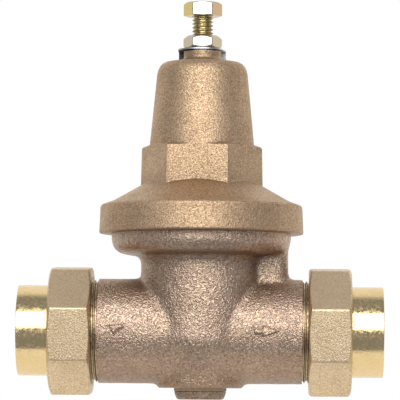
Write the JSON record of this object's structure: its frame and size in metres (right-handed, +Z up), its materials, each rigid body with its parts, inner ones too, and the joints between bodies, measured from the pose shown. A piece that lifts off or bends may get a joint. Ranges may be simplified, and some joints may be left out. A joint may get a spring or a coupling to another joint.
{
  "type": "pressure reducing valve",
  "caption": "Water pressure reducing valve: cast bronze body and bell housing, adjusting screw with lock nut on top, and a union with a solder cup at each end.",
  "frame": {"origin": "centre of the bottom plug's foot, under the crossing of the pipe axis and the stem axis", "axes": "+X along the pipe from inlet to outlet, +Z up along the stem towards the adjusting screw"},
  "size_m": [0.136, 0.0764, 0.1489],
  "materials": {
    "body_bronze": "sand cast",
    "bell_bronze": "sand cast",
    "nut_bronze": "fine cast",
    "brass": "polished",
    "zinc": "yellow zinc plate",
    "steel": "oiled",
    "stainless": "turned",
    "tag": "rolled sheet",
    "rubber": "moulded",
    "fibre": "pressed fibre"
  },
  "bodies": {
    "valve": {"body": "body_bronze", "bell_housing": "bell_bronze", "bottom_plug": "body_bronze", "plug_gasket": "fibre", "seat_ring": "stainless", "seat_o_ring": "rubber", "strainer_screen": "stainless", "diaphragm": "rubber", "friction_ring": "brass", "adjusting_spring": "steel", "inlet_union_gasket": "fibre", "outlet_union_gasket": "fibre"},
    "stem_assembly": {"stem": "brass", "piston_o_ring": "rubber", "seat_disc": "rubber", "disc_nut": "brass", "diaphragm_washer": "brass", "spring_plate": "steel", "stem_nut": "steel"},
    "spring_button": {"spring_button": "steel"},
    "adjusting_screw": {"adjusting_screw": "zinc"},
    "name_tag": {"name_tag": "tag"},
    "lock_nut": {"lock_nut": "zinc"},
    "inlet_tailpiece": {"inlet_tailpiece": "brass"},
    "inlet_union_nut": {"inlet_union_nut": "nut_bronze"},
    "outlet_tailpiece": {"outlet_tailpiece": "brass"},
    "outlet_union_nut": {"outlet_union_nut": "nut_bronze"}
  },
  "joints": [
    {"name": "stem_lift", "type": "slide", "parent": "valve", "child": "stem_assembly", "axis": [0, 0, 1], "range_m": [0, 0.003], "stiffness_N_per_m": 500, "springref_m": -0.01, "deforming": ["diaphragm", "adjusting_spring"]},
    {"name": "button_slide", "type": "slide", "parent": "valve", "child": "spring_button", "axis": [0, 0, 1], "range_m": [-0.00423, 0.00423], "deforming": ["adjusting_spring"]},
    {"name": "screw_turn", "type": "hinge", "parent": "spring_button", "child": "adjusting_screw", "pos_m": [0, 0, 0.13], "axis": [0, 0, 1], "range_deg": [-1080, 1080]},
    {"name": "tag_lift", "type": "slide", "parent": "valve", "child": "name_tag", "axis": [0, 0, 1], "range_m": [0, 0.00282]},
    {"name": "lock_nut_turn", "type": "hinge", "parent": "name_tag", "child": "lock_nut", "pos_m": [0, 0, 0.134], "axis": [0, 0, 1], "range_deg": [0, 720]},
    {"name": "inlet_tail_slide", "type": "slide", "parent": "valve", "child": "inlet_tailpiece", "axis": [-1, 0, 0], "range_m": [0, 0.00424]},
    {"name": "inlet_nut_turn", "type": "hinge", "parent": "inlet_tailpiece", "child": "inlet_union_nut", "pos_m": [-0.048, 0, 0.0254], "axis": [-1, 0, 0], "range_deg": [0, 1080]},
    {"name": "outlet_tail_slide", "type": "slide", "parent": "valve", "child": "outlet_tailpiece", "axis": [1, 0, 0], "range_m": [0, 0.00424]},
    {"name": "outlet_nut_turn", "type": "hinge", "parent": "outlet_tailpiece", "child": "outlet_union_nut", "pos_m": [0.048, 0, 0.0254], "axis": [1, 0, 0], "range_deg": [0, 1080]}
  ],
  "couplings": [
    {"joint": "screw_turn", "follows": "button_slide", "rad_per_m": 4452.7},
    {"joint": "lock_nut_turn", "follows": "tag_lift", "rad_per_m": 4452.7},
    {"joint": "inlet_tail_slide", "follows": "inlet_nut_turn", "m_per_rad": 0.00022458},
    {"joint": "outlet_tail_slide", "follows": "outlet_nut_turn", "m_per_rad": 0.00022458}
  ]
}
